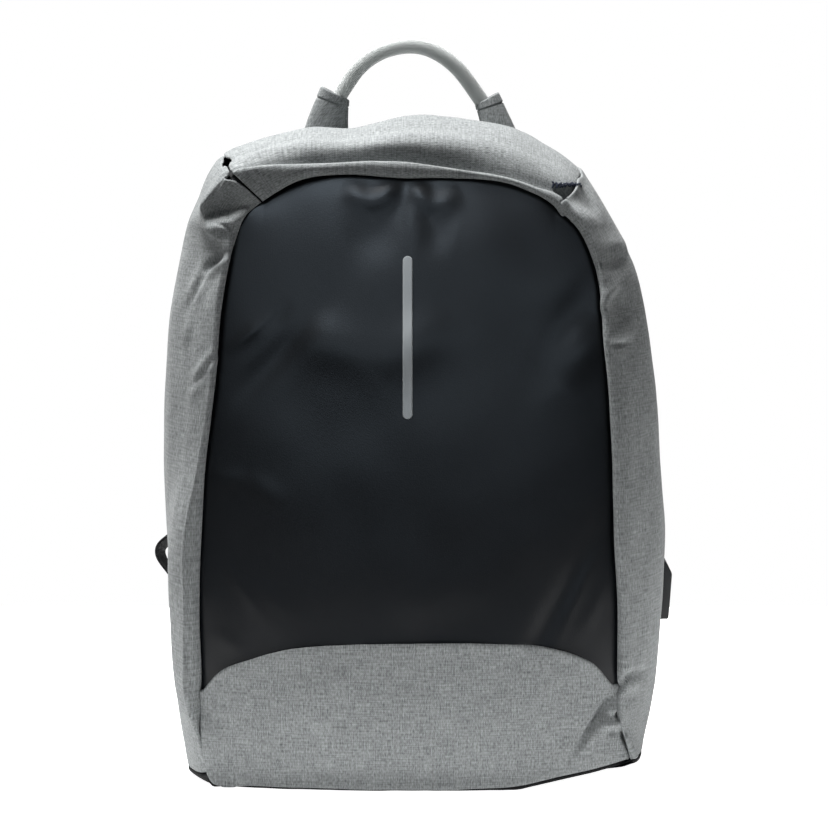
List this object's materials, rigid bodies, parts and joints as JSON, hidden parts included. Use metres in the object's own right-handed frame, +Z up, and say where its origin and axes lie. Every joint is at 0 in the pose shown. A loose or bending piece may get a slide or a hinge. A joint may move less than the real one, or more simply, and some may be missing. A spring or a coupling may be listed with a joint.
{
  "type": "backpack",
  "caption": "Soft-sided day backpack with a dark coated front, heathered grey gussets and lower pocket, tube carry handle, padded back and shoulder straps.",
  "frame": {"origin": "middle of the flat base that the bag stands on", "axes": "+Z up, the front faces -Y, the wearer's side is +Y, +X is right seen from the front"},
  "size_m": [0.3491, 0.2037, 0.481],
  "materials": {
    "grey_cloth": "heathered matte weave",
    "dark_cloth": "matte weave",
    "coated_cloth": "coated, soft sheen",
    "reflector": "satin reflective tape",
    "satin_tube": "satin",
    "black_plastic": "matte"
  },
  "bodies": {
    "root": {"front_pocket": "grey_cloth", "side_gusset_left": "grey_cloth", "side_gusset_right": "grey_cloth", "top_gusset": "grey_cloth", "handle_tab_left": "grey_cloth", "handle_tab_right": "grey_cloth", "shoulder_strap_left": "grey_cloth", "shoulder_strap_right": "grey_cloth", "corner_tape_left": "dark_cloth", "corner_tape_right": "dark_cloth", "back_panel": "dark_cloth", "base_panel": "dark_cloth", "strap_webbing_left": "dark_cloth", "strap_webbing_right": "dark_cloth", "usb_port": "black_plastic", "strap_adjuster_left": "black_plastic", "strap_adjuster_right": "black_plastic", "front_panel": "coated_cloth", "reflective_strip": "reflector", "handle_tube": "satin_tube"}
  },
  "joints": []
}
